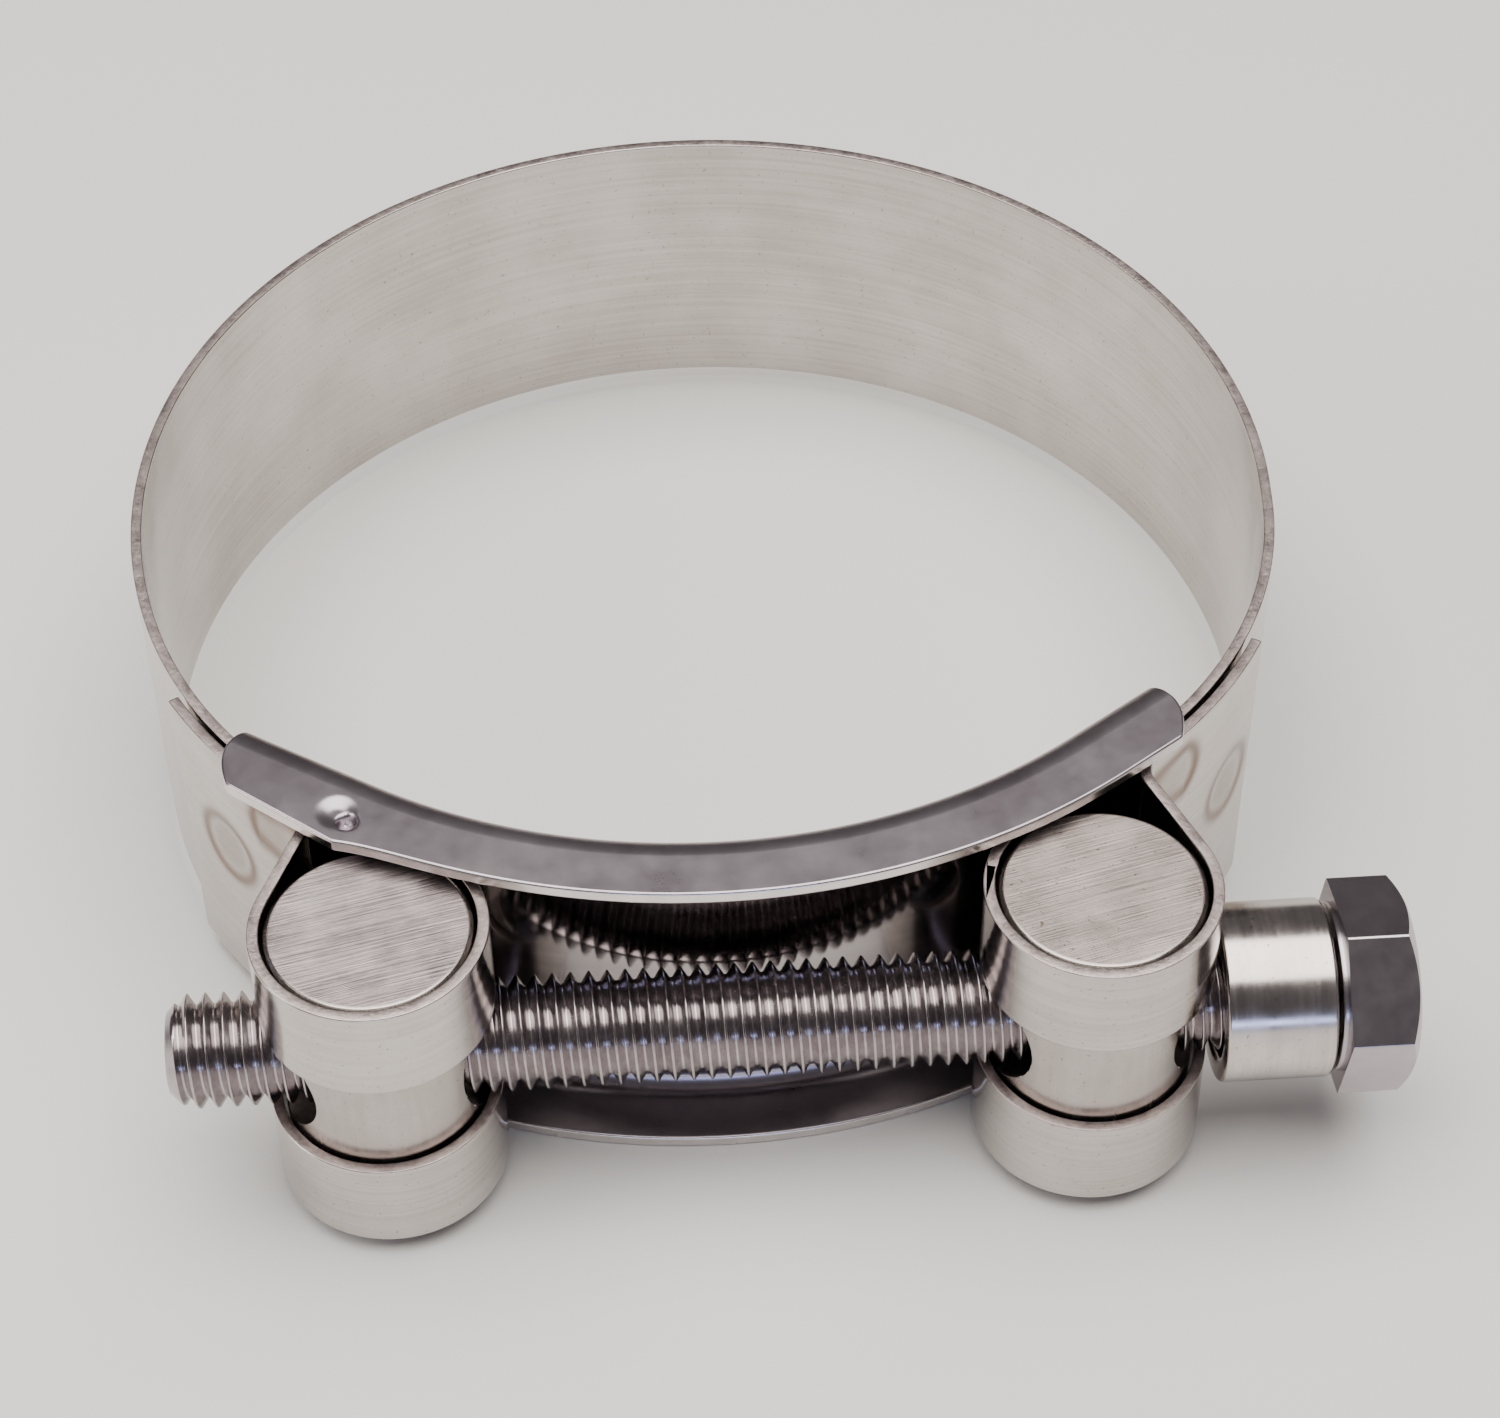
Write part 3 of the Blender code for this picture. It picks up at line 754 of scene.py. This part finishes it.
def bridge_sheet():
    """The channel's outer face, with its flanges' ends slanting in."""
    start = -(HALF_RUN + BRIDGE_LEFT_END)
    stop = HALF_RUN + BRIDGE_RIGHT_END
    bm = bmesh.new()
    columns = []
    for along in graded(start, stop, COARSE_STEP, FINE_STEP, MARKS_ALONG, MARKS_REACH):
        share = (along - start) / (stop - start)
        column = []
        for depth, z in bridge_section():
            flat = max(0.0, depth - BEND_RADIUS) / (FLANGE_DEPTH - BEND_RADIUS)
            slant = FLANGE_END_SLANT * flat * flat
            here = (start + slant) + (stop - start - 2 * slant) * share
            bulge = edge_bulge(here) * flat if z > MIDDLE else 0.0
            point = bridge_point(here, depth + bulge)
            column.append(bm.verts.new((point.x, point.y, pressed(point, z))))
        columns.append(column)
    for first, second in zip(columns, columns[1:]):
        for k in range(len(first) - 1):
            bm.faces.new((first[k], first[k + 1], second[k + 1], second[k]))
    return bm


def make_bridge(materials):
    obj = add_piece("bridge_channel", bridge_sheet(), materials["plate"], materials["plate_edge"],
                    materials["web"])
    paint_faces(obj, 2, lambda face: abs(face.normal.z) < 0.3)      # the upright web
    thicken(obj, SHEET, offset=-1.0, even=False)
    apply_modifiers(obj)
    # the rim, slot 1, wears the pale edge tint, partly a painted highlight
    round_rim(obj, 1, RIM_ROUNDING)
    shade(obj)
    return obj


# ---------------------------------------------------------------- trunnions

def plain_bore(radius):
    """A straight hole's profile, as (radius, along) points from the trunnion's middle."""
    far = PIN_RADIUS + TOOL_OVERRUN
    return [(0, far), (radius, far), (radius, -far), (0, -far)]


def countersunk_bore(radius):
    """The tapped hole's profile: countersunk where the bolt enters, wider where it comes out."""
    far = PIN_RADIUS + TOOL_OVERRUN
    rim = COUNTERSINK_RADIUS + TOOL_OVERRUN
    slope_end = COUNTERBORE_X - (COUNTERBORE_RADIUS - radius) * COUNTERBORE_SLOPE
    return [(0, far), (rim, far), (radius, far - (rim - radius)), (radius, COUNTERBORE_X),
            (COUNTERBORE_RADIUS, slope_end), (COUNTERBORE_RADIUS, -far), (0, -far)]


def make_trunnion(name, side, bore_profile, end_finish, materials):
    """A round pin with sawn ends, a dull bore in painted shade, and edges broken by a small chamfer.
    """
    length = TRUNNION_TOP - TRUNNION_BOTTOM
    profile = [(0, length), (PIN_RADIUS - PIN_CHAMFER, length), (PIN_RADIUS, length - PIN_CHAMFER),
               (PIN_RADIUS, PIN_CHAMFER), (PIN_RADIUS - PIN_CHAMFER, 0), (0, 0)]
    foot = (TRUNNION_X * side, BOLT_Y, TRUNNION_BOTTOM)
    # the pin's side wears the drawn tint, partly painted shade for the gap inside its loop
    finishes = (materials["drawn"], materials[end_finish], materials["bore"])
    pin = add_piece(name, turned(profile, foot, (0, 0, 1), steps=160), *finishes)
    middle = (TRUNNION_X * side, BOLT_Y, MIDDLE)
    drill = add_piece(name + "_drill", turned(bore_profile, middle, (1, 0, 0), steps=96), *finishes)
    # the drill's faces take the bore tint, which paints shade into the holes
    paint_faces(drill, 2)
    cut(pin, drill)
    paint_faces(pin, 1, lambda face: abs(face.normal.z) > 0.95 and face.material_index == 0)
    bevel(pin, PIN_EDGE_BREAK, segments=2, angle=35)
    shade(pin, angle=35)
    return pin


# ---------------------------------------------------------------- bolt and spacer

def thread_rings(bm):
    """Rings of vertices along the shank, one for each step round it, on a right-hand helix."""
    height = CREST_RADIUS - THREAD_ROOT_RADIUS
    first = math.floor((BOLT_TIP_X - CREST_AT) / PITCH) - 2
    last = math.ceil((HEAD_SEAT_X - CREST_AT) / PITCH) + 1
    stations = [(turn + share, THREAD_ROOT_RADIUS + height * rise)
                for turn in range(first, last) for share, rise in THREAD_PROFILE]
    floor_side = -math.pi / 2
    rings = []
    for k in range(THREAD_STEPS):
        angle = math.tau * k / THREAD_STEPS
        lead = (angle - floor_side % math.tau) / math.tau
        ring = []
        for turns, radius in stations:
            x = CREST_AT + PITCH * (turns + lead)
            limit = CREST_RADIUS - TIP_CHAMFER + (x - BOLT_TIP_X)
            r = min(radius, max(limit, TIP_RADIUS))
            ring.append(bm.verts.new((x, BOLT_Y + r * math.cos(angle), MIDDLE + r * math.sin(angle))))
        rings.append(ring)
    return rings


def join_rings(bm, rings):
    """Faces between neighbouring rings; the last meets the first one turn of thread further on."""
    for k, ring in enumerate(rings):
        wrap = len(THREAD_PROFILE) if k + 1 == len(rings) else 0
        after = rings[(k + 1) % len(rings)]
        for j in range(len(ring) - 1 - wrap):
            bm.faces.new((ring[j + wrap + 1], after[j + 1], after[j], ring[j + wrap]))


def cut_across(bm, x, outwards):
    """Cut the rod square across at x and close it there; outwards is 1 or -1."""
    geometry = bm.verts[:] + bm.edges[:] + bm.faces[:]
    bmesh.ops.bisect_plane(bm, geom=geometry, plane_co=(x, 0, 0), plane_no=(outwards, 0, 0),
                           clear_outer=True, dist=1e-5)
    rim = [edge for edge in bm.edges
           if edge.is_boundary and all(abs(vert.co.x - x) < SAME_POINT for vert in edge.verts)]
    bmesh.ops.contextual_create(bm, geom=rim)


def threaded_rod():
    """The bolt's threaded shank, with a chamfered tip, running a little way into the head."""
    bm = bmesh.new()
    join_rings(bm, thread_rings(bm))
    cut_across(bm, BOLT_TIP_X, -1)
    cut_across(bm, HEAD_SEAT_X + SHANK_INTO_HEAD, 1)
    bmesh.ops.recalc_face_normals(bm, faces=bm.faces)
    return bm


def hexagon(length):
    """A hexagonal bar along +X with softened corners."""
    reach = (HEAD_ACROSS_FLATS / 2 - HEX_CORNER_RADIUS) / math.cos(math.pi / 6)
    first_corner = math.pi / 6 - math.pi / 2 - HEX_TURN
    bm = bmesh.new()
    verts = []
    for k in range(6):
        corner = first_corner + k * math.pi / 3
        for lean in (-30, -15, 0, 15, 30):
            angle = corner + math.radians(lean)
            y = reach * math.cos(corner) + HEX_CORNER_RADIUS * math.cos(angle)
            z = -reach * math.sin(corner) - HEX_CORNER_RADIUS * math.sin(angle)
            verts.append(bm.verts.new((0, y, z)))
    base = bm.faces.new(verts)
    extruded = bmesh.ops.extrude_face_region(bm, geom=[base], use_keep_orig=True)["geom"]
    moved = [v for v in extruded if isinstance(v, bmesh.types.BMVert)]
    bmesh.ops.translate(bm, verts=moved, vec=(length, 0, 0))
    bmesh.ops.recalc_face_normals(bm, faces=bm.faces)
    return bm


def head_profile():
    """What the head keeps of its hexagon, as (radius, along): a washer face and a crowned end."""
    half_flats = HEAD_ACROSS_FLATS / 2
    washer = half_flats * WASHER_SPREAD
    top = half_flats * CROWN_FLAT
    clear = half_flats + 2 * TOOL_OVERRUN       # outside the hexagon's corners
    soft_edge = [(top + out, HEAD_THICKNESS + up) for out, up in CROWN_BREAK]
    return [(0, HEAD_THICKNESS), *soft_edge,
            (clear, HEAD_THICKNESS - (clear - top) * math.tan(CROWN_SLOPE)),
            (clear, WASHER_FACE), (washer, WASHER_FACE),
            (washer, WASHER_CHAMFER), (washer - WASHER_CHAMFER, 0), (0, 0)]


def make_bolt(materials):
    finishes = (materials["thread"], materials["head"])
    blank = hexagon(HEAD_THICKNESS + 2 * TOOL_OVERRUN)
    bmesh.ops.translate(blank, verts=blank.verts, vec=(HEAD_SEAT_X - TOOL_OVERRUN, BOLT_Y, MIDDLE))
    bolt = add_piece("threaded_bolt", blank, *finishes)
    crown = turned(head_profile(), (HEAD_SEAT_X, BOLT_Y, MIDDLE), (1, 0, 0), steps=144)
    cut(bolt, add_piece("crown", crown), 'INTERSECT')
    paint_faces(bolt, 1)
    cut(bolt, add_piece("rod", threaded_rod(), *finishes), 'UNION')
    shade(bolt, angle=50)
    return bolt


def rounded_corner(radius, along, inwards, up, rounding):
    """Points round one corner of a turned profile, from its end face to its side."""
    turns = [math.radians(angle) for angle in (0, 30, 60, 90)]
    return [(radius + inwards * rounding * (1 - math.sin(turn)),
             along + up * rounding * (1 - math.cos(turn))) for turn in turns]


def make_spacer(materials):
    length = SPACER_END - SPACER_START
    outer = (SPACER_RADIUS, -1, SPACER_ROUNDING)
    bore = (SPACER_BORE_RADIUS, 1, SPACER_BORE_ROUNDING)
    profile = []
    for (radius, inwards, rounding), along, up, order in (
            (outer, length, -1, 1), (outer, 0, 1, -1), (bore, 0, 1, 1), (bore, length, -1, -1)):
        profile += rounded_corner(radius, along, inwards, up, rounding)[::order]
    sleeve = turned(profile, (SPACER_START, BOLT_Y, MIDDLE), (1, 0, 0), steps=144)
    obj = add_piece("turned_spacer", sleeve, materials["turned"])
    shade(obj, angle=50)
    return obj


# ---------------------------------------------------------------- stage, light and camera

FLOOR_REACH = 1500


def make_floor():
    bm = bmesh.new()
    bmesh.ops.create_grid(bm, x_segments=1, y_segments=1, size=FLOOR_REACH)
    floor = add_piece("floor", bm)
    material = bpy.data.materials.new("pale_floor")
    material.use_nodes = True
    shader = material.node_tree.nodes["Principled BSDF"]
    shader.inputs["Base Color"].default_value = (0.80, 0.79, 0.77, 1)
    shader.inputs["Roughness"].default_value = 0.6
    floor.data.materials.append(material)


def area_light(name, place, aim, size, power, colour):
    light = bpy.data.lights.new(name, 'AREA')
    light.shape = 'RECTANGLE'
    light.size, light.size_y = (value * MM for value in size)
    light.energy = power
    light.color = colour
    obj = bpy.data.objects.new(name, light)
    bpy.context.scene.collection.objects.link(obj)
    obj.location = Vector(place) * MM
    obj.rotation_euler = (Vector(aim) - Vector(place)).to_track_quat('-Z', 'Y').to_euler()


def make_lights():
    """A softbox overhead in dim surroundings, with a faint cool glow from in front."""
    area_light("overhead", place=(0, -35, 620), aim=(0, -35, 0), size=(760, 650), power=8.5,
               colour=(1.0, 0.965, 0.92))
    area_light("side", place=(-620, -120, 330), aim=(0, 0, 0), size=(260, 420), power=1.6,
               colour=(1.0, 0.97, 0.94))
    area_light("cool_front", place=(0, -760, 110), aim=(0, -30, 12), size=(420, 70), power=0.7,
               colour=(0.50, 0.60, 1.0))
    world = bpy.data.worlds.new("studio")
    bpy.context.scene.world = world
    world.use_nodes = True
    background = world.node_tree.nodes["Background"]
    background.inputs["Color"].default_value = (0.13, 0.12, 0.125, 1)
    background.inputs["Strength"].default_value = 1.0


def make_camera():
    """Above and in front of the bolt, looking down at 46 degrees."""
    place = Vector((-8.1, -198.0, 207.4)) + RING_AXIS
    heading = math.radians(-3.32)
    pitch = math.radians(46.06)
    roll = math.radians(-0.70)
    forward = Vector((-math.sin(heading) * math.cos(pitch), math.cos(heading) * math.cos(pitch),
                      -math.sin(pitch)))
    level = Vector((math.cos(heading), math.sin(heading), 0))
    up = level.cross(forward)
    right = math.cos(roll) * level + math.sin(roll) * up
    up = right.cross(forward)
    camera = bpy.data.cameras.new("camera")
    camera.sensor_width = 36
    camera.lens = 86.7
    camera.clip_start = 0.01
    obj = bpy.data.objects.new("camera", camera)
    bpy.context.scene.collection.objects.link(obj)
    turn = Matrix((right, up, -forward)).transposed()
    obj.matrix_world = Matrix.Translation(place * MM) @ turn.to_4x4()
    bpy.context.scene.camera = obj


# ---------------------------------------------------------------- the whole scene

def assign(obj, body, slot, *nodes):
    """Attach a piece to the body it rides and hide the CAD nodes that it stands for; slot is not
    used.
    """
    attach(obj, body)
    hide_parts(*nodes)


def main():
    make_camera()
    materials = make_materials()
    for name, end, body, joint, nodes in (
            ("band_left", LEFT_END, "left_arm", "left_flex", ("band_left_end", "band_back")),
            ("band_right", RIGHT_END, "right_arm", "right_flex", ("band_right_end",))):
        band = make_band(name, end, materials)
        flex(band)
        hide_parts(*nodes)
    assign(make_bridge(materials), "left_arm", "plate_steel", "bridge_plate")
    left = make_trunnion("tapped_pin", -1, countersunk_bore(THREADED_BORE_RADIUS), "sawn_left",
                         materials)
    assign(left, "left_trunnion", "sawn_steel", "threaded_trunnion")
    right = make_trunnion("drilled_pin", 1, plain_bore(PLAIN_BORE_RADIUS), "sawn_right", materials)
    assign(right, "right_trunnion", "sawn_steel", "plain_trunnion")
    assign(make_bolt(materials), "bolt", "bolt_steel", "hex_bolt")
    assign(make_spacer(materials), "spacer", "turned_steel", "spacer_sleeve")
    make_floor()
    make_lights()


main()
